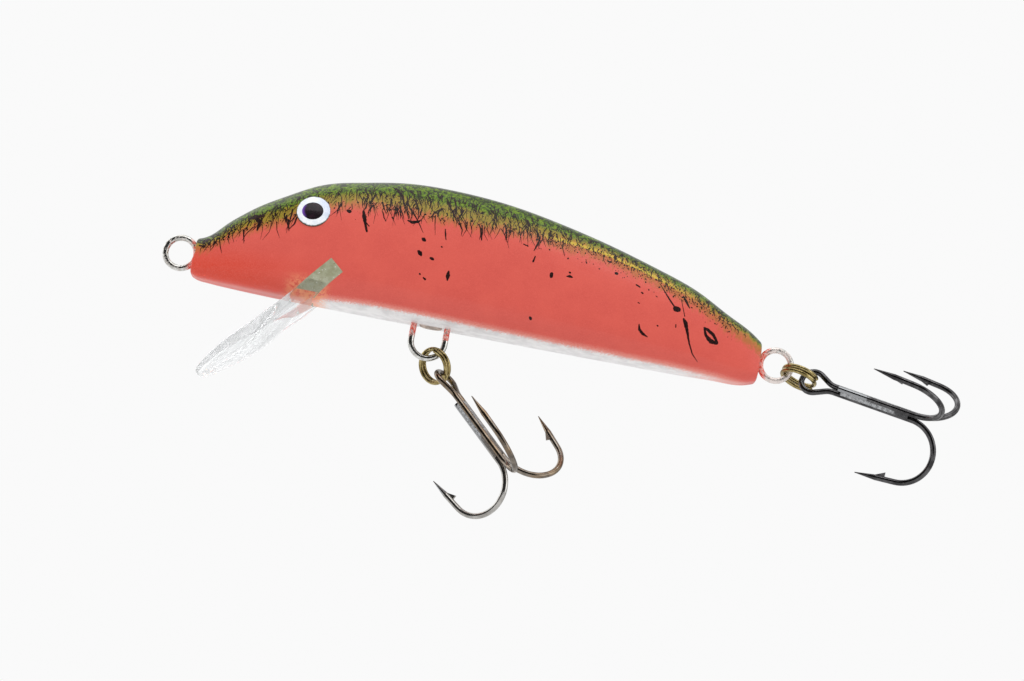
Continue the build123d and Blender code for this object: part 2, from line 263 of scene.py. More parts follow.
def natural_spline(xs, ys):
    """The natural cubic through the points, as a function."""
    n = len(xs)
    h = np.diff(xs)
    a = np.zeros((n, n))
    r = np.zeros(n)
    a[0, 0] = a[-1, -1] = 1
    for i in range(1, n - 1):
        a[i, i - 1:i + 2] = h[i - 1], 2 * (h[i - 1] + h[i]), h[i]
        r[i] = 6 * ((ys[i + 1] - ys[i]) / h[i] - (ys[i] - ys[i - 1]) / h[i - 1])
    m = np.linalg.solve(a, r)

    def curve(t):
        t = np.clip(np.asarray(t, float), xs[0], xs[-1])
        i = np.clip(np.searchsorted(xs, t) - 1, 0, n - 2)
        d = t - xs[i]
        k = (ys[i + 1] - ys[i]) / h[i] - h[i] * (2 * m[i] + m[i + 1]) / 6
        return ys[i] + d * (k + d * (m[i] / 2 + d * (m[i + 1] - m[i]) / (6 * h[i])))

    return curve


top_of = natural_spline(STATIONS[:, 0], STATIONS[:, 1])
bottom_of = natural_spline(STATIONS[:, 0], STATIONS[:, 2])
half_of = natural_spline(STATIONS[:, 0], STATIONS[:, 3])

AROUND = 168
FLANK_POINTS = 240
# the body's size amidships, for spacing the section's points by distance
TYPICAL_HALF, TYPICAL_HEIGHT = 5.0, 16.0


def section_shape():
    """The closed cross-section as fine points, and one flank of it from belly to back."""
    loop = [(0.0, 0.0)] + SECTION + [(0.0, 1.0)] + [(-a, b) for a, b in reversed(SECTION)]
    # three turns, so that the middle one has no loose ends
    ring = np.array(loop * 3 + loop[:1])
    steps = np.hypot(np.diff(ring[:, 0]) * TYPICAL_HALF, np.diff(ring[:, 1]) * TYPICAL_HEIGHT)
    run = np.r_[0, np.cumsum(steps)]
    turn = run[len(loop)]
    width = natural_spline(run, ring[:, 0])
    height = natural_spline(run, ring[:, 1])
    whole = turn + np.arange(AROUND) / AROUND * turn
    flank_run = turn + np.linspace(0, 0.5, FLANK_POINTS) * turn
    return width(whole), height(whole), width(flank_run), height(flank_run)


SHAPE_Y, SHAPE_Z, FLANK_Y, FLANK_Z = section_shape()


def flank(x, z):
    """Half width of the body at a station and height."""
    bottom, top = float(bottom_of(x)), float(top_of(x))
    share = np.clip((z - bottom) / (top - bottom), 0.0, 1.0)
    return float(np.interp(share, FLANK_Z, FLANK_Y)) * float(half_of(x))


def shell_point(x, z, side, lift=0.0):
    """A point on the flank, lifted along the surface normal."""
    y = flank(x, z)
    dz = (flank(x, z + 0.1) - flank(x, z - 0.1)) / 0.2
    dx = (flank(x + 0.2, z) - flank(x - 0.2, z)) / 0.4
    n = unit((-dx, 1.0, -dz))
    return np.array([x + n[0] * lift, side * (y + n[1] * lift), z + n[2] * lift])


# ---------------------------------------------------------------- materials


def edge_of_green(x):
    """How far below the back ridge the green reaches, in millimetres."""
    return np.interp(
        x,
        [1, 3, 5, 8, 10, 12, 15, 17, 20, 25, 30, 35, 40, 45, 50, 56, 60, 65, 70, 72],
        [1.1, 1.7, 2.2, 2.9, 3.4, 3.8, 3.5, 3.3, 3.2, 3.7,
         4.2, 4.1, 3.3, 2.5, 1.8, 1.55, 1.6, 1.4, 1.1, 0.9],
    )


def edge_of_white(x):
    """Height of the soft edge between the coral flank and the white belly."""
    return np.interp(
        x,
        [1, 12, 15.5, 18, 24, 30, 40, 50, 60, 66, 70, 72],
        [-5.8, -5.4, -4.2, -2.85, -2.6, -2.6, -2.75, -2.85, -2.9, -3.05, -3.4, -3.8],
    )


def lacquer_material():
    """Sprayed paint: coral flank, white belly and a mottled green back."""
    s = Shader("sprayed_lacquer")
    edge = s.attribute("green_edge")
    low = s.attribute("white_edge")
    coral = srgb(217, 92, 80)
    deep = srgb(214, 66, 44)
    # flank colour, with a faint cloudiness and a redder nose underside
    cloud = s.noise(0.25, 4, 0.6)
    fine_grain = s.noise(9.0, 2, 0.6)
    flank_col = s.mix(s.smooth(cloud, 0.3, 0.7), coral, srgb(210, 86, 76))
    nose = s.times(s.smooth(s.x, 22.0, 6.0), s.smooth(s.z, 2.5, -2.5))
    flank_col = s.mix(s.times(nose, 0.95), flank_col, deep)
    grain = s.times(s.minus(fine_grain, 0.5), 0.10)
    flank_col = s.mix(s.smooth(grain, -0.02, 0.05), flank_col, srgb(224, 102, 90))
    # soft airbrushed belly, speckled at its edge
    speck = s.noise(5.5, 3, 0.7)
    speck2 = s.cells(7.0)
    lowered = s.shaken(low, speck, 0.9)
    lowered = s.shaken(lowered, speck2, 0.25, middle=0.45)
    white = s.mix(s.smooth(s.noise(0.8, 3), 0.35, 0.65), srgb(232, 230, 229), srgb(214, 211, 211))
    pink = s.mix(s.smooth(speck, 0.4, 0.6), srgb(222, 122, 108), srgb(230, 160, 148))
    col = s.mix(s.smooth(lowered, 0.75, 0.10), flank_col, pink)
    col = s.mix(s.smooth(lowered, 0.18, -0.12), col, white)
    # the back: green over a brown fade, with drips and a mottle of black
    drips = s.noise(1.0, 4, 0.65, s.stretch(2.4, 1.0, 0.45), 0.7)
    fuzz = s.noise(3.2, 3, 0.6)
    e = s.shaken(edge, drips, 2.6)
    e = s.shaken(e, fuzz, 1.2)
    brown = s.mix(s.smooth(fuzz, 0.35, 0.65), srgb(188, 102, 58), srgb(162, 112, 50))
    ochre = s.mix(s.smooth(fuzz, 0.35, 0.65), srgb(160, 134, 42), srgb(140, 124, 34))
    green = s.mix(s.smooth(s.noise(1.6, 4, 0.6), 0.35, 0.65), srgb(80, 110, 8), srgb(116, 146, 20))
    col = s.mix(s.times(s.smooth(e, 1.5, 0.2), 0.8), col, brown)
    col = s.mix(s.smooth(e, 0.35, -0.45), col, ochre)
    # a broken olive fringe under the yellow line
    fringe = s.times(s.smooth(e, 1.9, 0.5), s.smooth(s.x, 38.0, 46.0))
    fringe = s.times(fringe, s.smooth(s.noise(2.0, 4, 0.7), 0.34, 0.56))
    fringe = s.times(fringe, s.smooth(e, 0.0, 0.4))
    col = s.mix(s.times(fringe, 0.75), col, srgb(166, 104, 50))
    shift = s.minus(e, edge)
    inner = s.plus(s.attribute("green_core"), s.times(shift, 0.6))
    col = s.mix(s.smooth(inner, 0.45, -0.45), col, green)
    # the yellow line towards the tail
    line = s.times(s.smooth(s.x, 41.0, 46.0), s.smooth(s.x, 64.0, 58.0))
    jitter = s.times(s.minus(fuzz, 0.5), 0.5)
    across = s.size(s.plus(edge, jitter))
    line = s.times(line, s.smooth(across, 0.34, 0.06))
    col = s.mix(s.times(line, 0.8), col, srgb(206, 180, 60))
    # mottle of black: blotches, finer specks and a web of lines
    mottle = s.noise(1.5, 6, 0.72, distort=1.0)
    mottle2 = s.noise(3.6, 5, 0.7, distort=0.6)
    web = s.noise(1.3, 3, 0.6, s.stretch(1.5, 1.0, 1.0), 1.8)
    web = s.size(s.minus(web, 0.5))
    in_green = s.times(s.smooth(e, 0.3, -0.9), 0.45)
    in_green = s.plus(in_green, s.times(s.smooth(inner, 0.5, -0.4), 0.55))
    ridge = s.smooth(s.attribute("ridge"), 1.1, 0.1)
    level = s.minus(mottle, s.times(s.minus(1.0, in_green), 0.10))
    level = s.plus(level, s.times(ridge, 0.10))
    blotch = s.smooth(level, 0.50, 0.57)
    fine = s.smooth(mottle2, 0.51, 0.58)
    fine = s.times(fine, s.smooth(mottle, 0.40, 0.52))
    dark = s.larger(blotch, fine)
    dark = s.larger(dark, s.smooth(web, 0.020, 0.006))
    dark = s.times(dark, s.smooth(in_green, 0.1, 0.75))
    col = s.mix(s.times(dark, 0.93), col, srgb(20, 24, 10))
    # orange over-spray where the lip was masked off
    from_slot = s.size(s.minus(s.x, 16.4))
    spray = s.times(s.smooth(from_slot, 3.7, 1.2), s.smooth(s.z, 0.0, -2.2))
    spray = s.times(spray, s.smooth(s.noise(2.2, 4, 0.7), 0.36, 0.58))
    spray = s.times(spray, s.smooth(s.x, 19.4, 17.8))
    col = s.mix(s.times(spray, 0.9), col, srgb(240, 160, 116))
    s.set("Base Color", col)
    s.roughness(0.24, 0.16, speck)
    s.bsdf.inputs["IOR"].default_value = 1.48
    s.bsdf.inputs["Specular IOR Level"].default_value = 0.22
    s.bsdf.inputs["Coat Weight"].default_value = 0.09
    s.bsdf.inputs["Coat Roughness"].default_value = 0.12
    waves = s.plus(s.noise(0.35, 2), s.times(s.noise(2.4, 3), 0.16))
    s.bump(waves, 0.10, 0.6)
    return s.material


def fleck_material():
    """Black paint, thin enough to look brown in places."""
    s = Shader("black_flecks")
    s.set("Base Color", s.mix(s.smooth(s.noise(6.0), 0.4, 0.7), srgb(24, 14, 14), srgb(58, 28, 26)))
    s.roughness(0.25, 0.2, s.noise(5.0))
    s.bsdf.inputs["Specular IOR Level"].default_value = 0.15
    s.bsdf.inputs["Coat Weight"].default_value = 0.1
    s.bsdf.inputs["Coat Roughness"].default_value = 0.12
    return s.material


def clear_material():
    """Clear moulded plastic, half of which lets light straight through."""
    s = Shader("clear_lip")
    s.set("Base Color", srgb(250, 252, 252))
    s.bsdf.inputs["Transmission Weight"].default_value = 1.0
    s.bsdf.inputs["IOR"].default_value = 1.49
    s.roughness(0.01, 0.06, s.smooth(s.noise(1.3, 4), 0.5, 0.75))
    s.bump(s.noise(0.5, 2), 0.05, 0.5)
    plain = s.node("ShaderNodeBsdfTransparent")
    plain.inputs["Color"].default_value = (0.97, 0.975, 0.98, 1.0)
    rim = s.node("ShaderNodeLayerWeight")
    rim.inputs["Blend"].default_value = 0.35
    share = s.math("ADD", 0.36, s.times(rim.outputs["Facing"], 0.5), clamp=True)
    both = s.node("ShaderNodeMixShader")
    s.put(both.inputs[0], share)
    s.link(plain.outputs[0], both.inputs[1])
    s.link(s.bsdf.outputs[0], both.inputs[2])
    s.link(both.outputs[0], s.out.inputs[0])
    return s.material


def epoxy_material():
    """Greenish glue with brown specks and small bubbles, and bright white spots painted in as
    highlights.
    """
    s = Shader("slot_epoxy")
    base = s.mix(s.smooth(s.noise(1.4, 4, 0.6), 0.35, 0.65), srgb(166, 168, 142), srgb(150, 150, 120))
    specks = s.smooth(s.cells(2.6), 0.20, 0.10)
    specks = s.times(specks, s.smooth(s.noise(1.1), 0.45, 0.6))
    base = s.mix(s.times(specks, 0.8), base, srgb(106, 78, 48))
    # painted highlight: bright white spots mixed into the glue's colour
    painted_glint = s.smooth(s.noise(3.5, 2, 0.5), 0.66, 0.72)
    base = s.mix(painted_glint, base, srgb(226, 226, 214))
    s.set("Base Color", base)
    s.roughness(0.12, 0.2, s.noise(4.0))
    s.bsdf.inputs["Coat Weight"].default_value = 0.8
    s.bsdf.inputs["Coat Roughness"].default_value = 0.05
    s.bump(s.noise(1.6, 3), 0.12, 0.7)
    return s.material


def wire_material():
    """Bright wire with coral and white over-spray where it leaves the body."""
    s = Shader("stainless_wire")
    s.roughness(0.07, 0.16, s.noise(3.0, 4))
    patch = s.noise(2.2, 4, 0.7)
    # hanger legs below the belly, and the loops near the nose and tail faces
    below = s.smooth(s.plus(s.z, s.times(patch, 1.5)), -4.1, -3.5)
    at_hanger = s.smooth(s.size(s.minus(s.x, 31.45)), 3.4, 3.0)
    leg = s.times(below, at_hanger)
    nose = s.smooth(s.plus(s.x, s.times(patch, 1.4)), 1.5, 2.3)
    nose = s.times(nose, s.smooth(s.x, 8.0, 6.0))
    tail = s.smooth(s.minus(s.x, s.times(patch, 1.8)), 71.7, 71.0)
    tail = s.times(tail, s.smooth(s.x, 64.0, 66.0))
    painted = s.larger(leg, s.larger(nose, tail))
    painted = s.times(painted, s.smooth(patch, 0.34, 0.48))
    haze = s.smooth(s.noise(3.0, 4, 0.7), 0.52, 0.66)
    haze = s.times(haze, s.smooth(s.x, 3.5, 2.0))
    film = s.times(s.smooth(s.noise(1.5, 4, 0.7), 0.36, 0.5), s.smooth(s.x, 70.0, 72.0))
    haze = s.larger(haze, film)
    haze = s.times(haze, 0.85)
    metal = s.mix(s.smooth(patch, 0.4, 0.6), srgb(214, 214, 210), srgb(176, 174, 168))
    paint = s.mix(s.smooth(s.noise(3.0), 0.42, 0.58), srgb(224, 84, 66), srgb(240, 176, 166))
    col = s.mix(s.times(haze, 0.8), metal, srgb(240, 226, 220))
    col = s.mix(painted, col, paint)
    s.set("Base Color", col)
    cover = s.larger(painted, s.times(haze, 0.8))
    s.set("Metallic", s.math("SUBTRACT", 1.0, cover, clamp=True))
    s.bump(s.plus(s.noise(1.6, 3), s.times(cover, 0.8)), 0.05, 0.5)
    return s.material


def ring_material():
    """Spring wire with a bronze finish, with pale spots painted in as highlights."""
    s = Shader("bronzed_spring_wire")
    tone = s.noise(1.2, 4, 0.6)
    col = s.mix(s.smooth(tone, 0.35, 0.65), srgb(172, 156, 108), srgb(126, 110, 68))
    # painted highlights: pale spots mixed into the bronze colour
    col = s.mix(s.smooth(s.noise(4.5, 4, 0.7), 0.58, 0.72), col, srgb(222, 208, 160))
    s.set("Base Color", col)
    s.bsdf.inputs["Metallic"].default_value = 1.0
    s.roughness(0.10, 0.22, s.noise(3.5, 4))
    s.bump(s.noise(6.0, 4, 0.7), 0.02, 0.6)
    return s.material


def hook_material(name, origin, axis, base, warm, silver):
    """Plated steel; silver gives the stretch of bare, brazed metal along the shank."""
    s = Shader(name)
    tone = s.noise(0.9, 3, 0.55)
    col = s.mix(s.smooth(tone, 0.3, 0.7), srgb(*base[0]), srgb(*base[1]))
    col = s.mix(s.times(s.smooth(s.noise(0.4, 2), 0.38, 0.66), warm), col, srgb(134, 112, 86))
    col = s.mix(s.smooth(s.noise(5.0, 4, 0.7), 0.60, 0.74), col, srgb(160, 158, 156))
    if silver > 0:
        ragged = s.shaken(s.along(origin, axis), s.noise(2.4, 4), 2.4)
        bare = s.smooth(ragged, silver + 0.4, silver - 0.6)
        col = s.mix(s.times(bare, 0.85), col, srgb(158, 160, 162))
    s.set("Base Color", col)
    s.bsdf.inputs["Metallic"].default_value = 1.0
    s.roughness(0.05, 0.14, s.noise(2.8, 4))
    s.bump(s.noise(3.0, 4, 0.7), 0.02, 0.5)
    return s.material


def braze_material(name, origin, axis, base, silver):
    """Bare brazing metal that darkens to the hook's own tone past silver along the shank."""
    s = Shader(name)
    col = s.mix(s.smooth(s.noise(2.8, 5, 0.75), 0.4, 0.6), srgb(128, 129, 130), srgb(178, 180, 182))
    col = s.mix(s.smooth(s.noise(5.0, 4, 0.7), 0.60, 0.70), col, srgb(56, 54, 54))
    ragged = s.shaken(s.along(origin, axis), s.noise(2.4, 4), 2.4)
    worn = s.smooth(ragged, silver - 0.7, silver + 0.7)
    col = s.mix(s.times(worn, 0.9), col, srgb(*base[0]))
    s.set("Base Color", col)
    s.bsdf.inputs["Metallic"].default_value = 0.85
    s.roughness(0.26, 0.3, s.noise(3.5))
    s.bump(s.noise(3.2, 5, 0.75), 0.07, 0.9)
    return s.material


def plain_detail(name, a, b, scale, rough, metallic, bump):
    """Two blended tones with a finely uneven surface, for small parts."""
    s = Shader(name)
    s.set("Base Color", s.mix(s.smooth(s.noise(scale, 5, 0.65), 0.35, 0.65), a, b))
    s.bsdf.inputs["Metallic"].default_value = metallic
    s.roughness(rough, 0.2, s.noise(scale * 2))
    s.bump(s.noise(scale * 2.5, 4), bump, 0.7)
    return s.material


def balsa_material():
    """Pale wood with its grain along the body."""
    s = Shader("balsa_wood")
    grain = s.noise(1.0, 5, 0.7, s.stretch(0.12, 2.4, 2.4), 0.4)
    pores = s.noise(1.0, 2, 0.6, s.stretch(0.6, 9.0, 9.0))
    col = s.mix(s.smooth(grain, 0.35, 0.65), srgb(222, 198, 156), srgb(196, 166, 120))
    col = s.mix(s.smooth(pores, 0.62, 0.72), col, srgb(150, 118, 80))
    s.set("Base Color", col)
    s.roughness(0.6, 0.2, grain)
    s.bump(grain, 0.05, 0.6)
    return s.material


EYE_AT = np.array([15.05, -3.81, 7.35])
EYE_NORMAL = unit((-0.11, -0.946, 0.306))


def eye_material(side):
    """White ring with a thin dark outline and a bluish painted shade towards its upper rear."""
    s = Shader("eye_white_" + ("left" if side < 0 else "right"))
    r = s.attribute("radius")
    col = s.mix(s.smooth(s.noise(1.5, 3), 0.4, 0.6), srgb(246, 248, 252), srgb(232, 238, 246))
    # painted shade: a bluish tint over the upper rear of the ring
    painted_cool_shade = s.times(s.smooth(s.plus(s.x, s.times(s.z, 0.7)), 20.6, 22.6), 0.6)
    col = s.mix(painted_cool_shade, col, srgb(176, 190, 222))
    rim = s.smooth(s.shaken(r, s.noise(3.0), 0.10), 0.93, 0.985)
    col = s.mix(rim, col, srgb(70, 72, 60))
    s.set("Base Color", col)
    s.roughness(0.16, 0.1, s.noise(4.0))
    s.bsdf.inputs["Coat Weight"].default_value = 0.5
    s.bump(s.noise(1.4), 0.02, 0.5)
    return s.material


def pupil_material(side):
    """Near-black, with a violet edge at the front."""
    s = Shader("pupil_" + ("left" if side < 0 else "right"))
    r = s.attribute("radius")
    front = s.smooth(s.plus(s.x, s.times(s.z, 0.15)), 15.5, 14.75)
    col = s.mix(s.smooth(s.noise(2.5, 3), 0.4, 0.6), srgb(26, 18, 24), srgb(40, 24, 34))
    violet = s.times(front, s.smooth(r, 0.62, 0.92))
    col = s.mix(violet, col, srgb(112, 70, 170))
    s.set("Base Color", col)
    s.roughness(0.14, 0.1, s.noise(3.0))
    s.bsdf.inputs["Specular IOR Level"].default_value = 0.2
    s.bsdf.inputs["Coat Weight"].default_value = 0.12
    s.bump(s.noise(2.0), 0.02, 0.5)
    return s.material


# ---------------------------------------------------------------- body skin


END_ROUND = 0.24
FACE_SHARE = 0.90
NOSE_DISH_R = 1.9
GREEN_CORE = 0.62


def skin_stations():
    """Pairs of x and share of the full section, from the nose face to the tail face."""
    x0, x1 = STATIONS[0, 0], STATIONS[-1, 0]
    rounding = []
    for a in np.radians(np.linspace(0, 90, 7)):
        share = FACE_SHARE + (1 - FACE_SHARE) * math.sin(a)
        rounding.append((END_ROUND * (1 - math.cos(a)), share))
    stations = [(x0, share) for share in (0.0, 0.25, 0.5, 0.72)]
    stations += [(x0 + inset, share) for inset, share in rounding]
    between = np.r_[
        np.linspace(x0 + END_ROUND, 9.0, 44)[1:],
        np.linspace(9.0, 66.0, 210)[1:],
        np.linspace(66.0, x1 - END_ROUND, 34)[1:],
    ]
    stations += [(x, 1.0) for x in between]
    stations += [(x1 - inset, share) for inset, share in rounding[-2::-1]]
    stations += [(x1, share) for share in (0.72, 0.5, 0.25, 0.0)]
    return stations


def build_skin():
    """The lacquered body: the lofted form with softly rounded ends."""
    stations = skin_stations()
    verts = []
    for x, share in stations:
        bottom, top, half = float(bottom_of(x)), float(top_of(x)), float(half_of(x))
        middle = (bottom + top) / 2
        for across, up in zip(SHAPE_Y, bottom + (top - bottom) * SHAPE_Z):
            px, py, pz = x, half * across * share, middle + (up - middle) * share
            # the nose face is dished at the line tie
            dish = NOSE_DISH_R**2 - pz**2
            if dish > 0:
                px = max(px, math.sqrt(dish))
            verts.append((px, py, pz))
    faces = grid_faces(len(stations), AROUND, closed=True)
    obj = recalc(new_object("lacquered_body", verts, faces, lacquer_material()))
    co = np.zeros(len(obj.data.vertices) * 3)
    obj.data.vertices.foreach_get("co", co)
    co = co.reshape(-1, 3) / MM
    below_top = top_of(co[:, 0]) - co[:, 2]
    reach = edge_of_green(co[:, 0])
    add_attribute(obj, "green_edge", below_top - reach)
    add_attribute(obj, "green_core", below_top - GREEN_CORE * reach)
    add_attribute(obj, "white_edge", co[:, 2] - edge_of_white(co[:, 0]))
    add_attribute(obj, "ridge", below_top)
    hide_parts("painted_skin")
    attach(obj, "lure_body")


# ---------------------------------------------------------------- paint flecks and hairs

FLECK_LIFT = 0.014
FLECK_WOBBLE = 0.14


def seen(x, z):
    """The point of the left flank that the viewer sees at x and z."""
    tx, tz = x, z
    for _ in range(5):
        y = flank(tx, tz)
        near = 1 - math.cos(LOOK_UP) * y / DISTANCE
        tx = AIM_X + (x - AIM_X) * near
        tz = (AIM_UP + (z - AIM_UP) * near - math.sin(LOOK_UP) * y) / math.cos(LOOK_UP)
    return tx, tz


def add_dot(verts, faces, start, end, half_width, side, rng):
    """An oval spot of paint, with a slightly uneven outline."""
    count = 14
    middle = (start + end) / 2
    along = unit(end - start + 1e-9)
    off = np.array([-along[1], along[0]])
    long_r = np.linalg.norm(end - start) / 2 + half_width * 0.8
    wide_r = half_width * 1.05
    base = len(verts)
    for k in range(count):
        a = 2 * math.pi * k / count
        grow = 1 + rng.uniform(-FLECK_WOBBLE, FLECK_WOBBLE) * 0.7
        q = middle + (along * math.cos(a) * long_r + off * math.sin(a) * wide_r) * grow
        verts.append(shell_point(q[0], q[1], side, FLECK_LIFT))
    faces.append(tuple(range(base, base + count)))


def add_stroke(verts, faces, path, widths, side, rng):
    """A flat stroke of paint along a path on the flank, with a slightly uneven outline."""
    path = [np.array(p, float) for p in path]
    length = np.linalg.norm(path[-1] - path[0])
    if len(path) == 2 and length < 2.4 * max(widths):
        add_dot(verts, faces, path[0], path[1], max(widths), side, rng)
        return
    points, halves = [], []
    for a, b, half_a, half_b in zip(path, path[1:], widths, widths[1:]):
        steps = max(3, int(np.linalg.norm(b - a) / 0.12))
        for k in range(steps):
            f = k / steps
            points.append(a + (b - a) * f)
            halves.append(half_a + (half_b - half_a) * f)
    points.append(path[-1])
    halves.append(widths[-1])
    count = len(points)
    outline = [points[0] + unit(points[0] - points[1]) * halves[0] * 0.9]
    for i, (point, half) in enumerate(zip(points, halves)):
        d = unit(points[min(i + 1, count - 1)] - points[max(i - 1, 0)] + 1e-9)
        off = np.array([-d[1], d[0]])
        outline.append(point + off * half * (1 + rng.uniform(-FLECK_WOBBLE, FLECK_WOBBLE)))
        outline.append(point - off * half * (1 + rng.uniform(-FLECK_WOBBLE, FLECK_WOBBLE)))
    outline.append(points[-1] + unit(points[-1] - points[-2]) * halves[-1] * 0.9)
    base = len(verts)
    for q in outline:
        verts.append(shell_point(q[0], q[1], side, FLECK_LIFT))
    faces.append((base, base + 1, base + 2))
    for i in range(count - 1):
        a = base + 1 + 2 * i
        faces.append((a, a + 2, a + 3, a + 1))
    last = base + 1 + 2 * (count - 1)
    faces.append((last, last + 2, last + 1))


# strokes on the left flank, as the viewer sees them: points (x, z) of the path and half widths
STROKES = [
    ([(28.4, 7.25), (28.6, 7.15), (28.8, 7.05)], [0.16, 0.27, 0.14]),
    ([(28.2, 5.65), (28.45, 5.45), (28.65, 5.2)], [0.16, 0.28, 0.14]),
    ([(29.85, 5.08), (30.15, 5.0)], [0.16, 0.17]),
    ([(32.3, 3.95), (32.3, 3.35), (32.35, 2.8)], [0.08, 0.27, 0.08]),
    ([(28.87, 2.97), (28.97, 2.9)], [0.10, 0.10]),
    ([(29.4, 2.6), (29.7, 2.4)], [0.07, 0.14]),
    ([(30.85, 6.7), (30.97, 6.65)], [0.09, 0.09]),
    ([(20.7, 9.2), (20.95, 8.5), (21.2, 7.8), (21.6, 6.8)], [0.12, 0.26, 0.16, 0.12]),
    ([(21.25, 7.9), (21.75, 7.5)], [0.05, 0.07]),
    ([(18.8, 8.9), (19.15, 8.8)], [0.16, 0.20]),
    ([(26.2, 9.1), (26.8, 8.95), (27.5, 9.15), (27.8, 9.45)], [0.07, 0.22, 0.16, 0.05]),
    ([(24.3, 12.5), (25.0, 11.9), (25.4, 11.0), (25.9, 10.1), (26.3, 9.3)],
     [0.12, 0.16, 0.08, 0.06, 0.05]),
    ([(23.6, 12.7), (24.4, 12.55)], [0.04, 0.12]),
    ([(30.9, 8.9), (31.05, 8.3), (31.25, 7.6)], [0.05, 0.10, 0.04]),
    ([(30.4, 12.3), (31.2, 11.4), (32.2, 9.9)], [0.05, 0.08, 0.04]),
    ([(34.9, 10.2), (35.3, 9.3), (35.5, 8.4)], [0.05, 0.11, 0.07]),
    ([(23.1, 9.5), (23.3, 8.9), (23.6, 8.5)], [0.04, 0.07, 0.05]),
    ([(24.25, 9.1), (24.45, 8.95)], [0.08, 0.09]),
    ([(42.3, 7.7), (42.15, 7.0)], [0.07, 0.12]),
    ([(44.65, 6.0), (44.65, 5.6)], [0.18, 0.22]),
    ([(46.5, 6.0), (46.85, 6.08), (47.2, 6.02)], [0.06, 0.17, 0.08]),
    ([(46.75, 6.55), (46.85, 6.52)], [0.12, 0.12]),
    ([(43.05, 0.25), (43.2, 0.08)], [0.13, 0.16]),
    ([(52.3, 7.5), (52.5, 7.5)], [0.16, 0.18]),
    ([(51.0, 8.8), (51.5, 8.7)], [0.08, 0.11]),
    ([(55.0, 6.6), (55.5, 6.4)], [0.10, 0.09]),
    ([(55.8, 5.8), (56.0, 5.7)], [0.10, 0.08]),
    ([(55.6, 4.5), (55.8, 4.45)], [0.06, 0.06]),
    ([(57.6, 5.7), (57.8, 5.6)], [0.05, 0.05]),
    ([(56.2, 1.95), (56.35, 1.35), (56.8, 0.9), (57.5, 0.6)], [0.05, 0.16, 0.19, 0.04]),
    ([(58.4, 2.2), (58.5, 2.15)], [0.09, 0.09]),
    ([(60.6, 2.75), (60.65, 2.4)], [0.06, 0.08]),
    ([(57.8, 7.3), (58.6, 6.4), (59.4, 5.5), (60.0, 4.9)], [0.03, 0.07, 0.10, 0.09]),
    ([(60.2, 4.62), (60.6, 4.58)], [0.36, 0.36]),
    ([(60.9, 6.3), (61.35, 5.75), (61.9, 5.0)], [0.08, 0.16, 0.05]),
    ([(60.7, 5.9), (61.5, 3.9)], [0.03, 0.05]),
    ([(61.4, 3.6), (61.75, 3.1), (62.1, 2.2), (62.6, 0.8), (63.2, -0.4), (64.0, -1.25)],
     [0.12, 0.26, 0.17, 0.09, 0.07, 0.02]),
    ([(64.05, 3.0), (64.6, 2.8), (65.3, 2.35), (65.95, 1.5)], [0.12, 0.20, 0.20, 0.14]),
    ([(64.1, 2.9), (64.45, 2.1), (65.15, 1.5), (65.95, 1.4)], [0.12, 0.18, 0.30, 0.16]),
    ([(40.6, 8.9), (41.2, 8.75)], [0.06, 0.08]),
    ([(37.9, 10.9), (38.3, 10.0), (38.5, 9.0)], [0.06, 0.10, 0.04]),
    ([(42.5, 10.1), (42.3, 9.2), (42.0, 8.3)], [0.05, 0.12, 0.04]),
    ([(45.2, 9.7), (45.8, 8.4)], [0.06, 0.03]),
    ([(3.1, 2.6), (3.7, 3.05), (4.4, 2.9)], [0.07, 0.09, 0.05]),
    ([(4.2, 2.7), (4.5, 1.7), (4.85, 0.9)], [0.07, 0.06, 0.02]),
    ([(1.8, 1.75), (2.3, 1.8), (3.0, 2.3)], [0.24, 0.24, 0.12]),
    ([(2.0, 1.3), (2.7, 1.3)], [0.10, 0.12]),
    ([(7.9, 6.1), (8.6, 5.5), (8.5, 4.4)], [0.30, 0.26, 0.08]),
    ([(7.2, 5.6), (8.0, 6.0), (8.9, 6.3)], [0.16, 0.30, 0.12]),
    ([(12.9, 6.9), (12.8, 6.1), (12.2, 5.2)], [0.10, 0.09, 0.03]),
]


HAIRS = 1150
SPECKS = 420
FINE_SPECKS = 420


def add_hairs(verts, faces, side, rng):
    """Hairs hanging from the green edge, thickest over the head and the shoulder."""
    for _ in range(HAIRS):
        x = rng.uniform(2.6, 69.0)
        thickly = 1.0 if x < 13 or 20 < x < 42 else 0.55
        if rng.random() > thickly:
            continue
        reach = float(edge_of_green(x))
        start = float(top_of(x)) - reach * rng.uniform(0.3, 1.14)
        length = rng.uniform(0.3, 1.0) ** 2.6 * min(2.5, reach * 0.75)
        lean = rng.uniform(-0.55, 0.5) + (0.22 if x > 20 else -0.05)
        bend = rng.uniform(-0.28, 0.28)
        end = start - length
        if end < float(bottom_of(x)) + 1.5:
            continue
        middle = (x + lean * length * 0.5 + bend, (start + end) / 2)
        w = rng.uniform(0.018, 0.05) * (1.7 if rng.random() < 0.22 else 1.0)
        path = [(x, start), middle, (x + lean * length, end)]
        add_stroke(verts, faces, path, [w * 1.4, w, w * 0.3], side, rng)


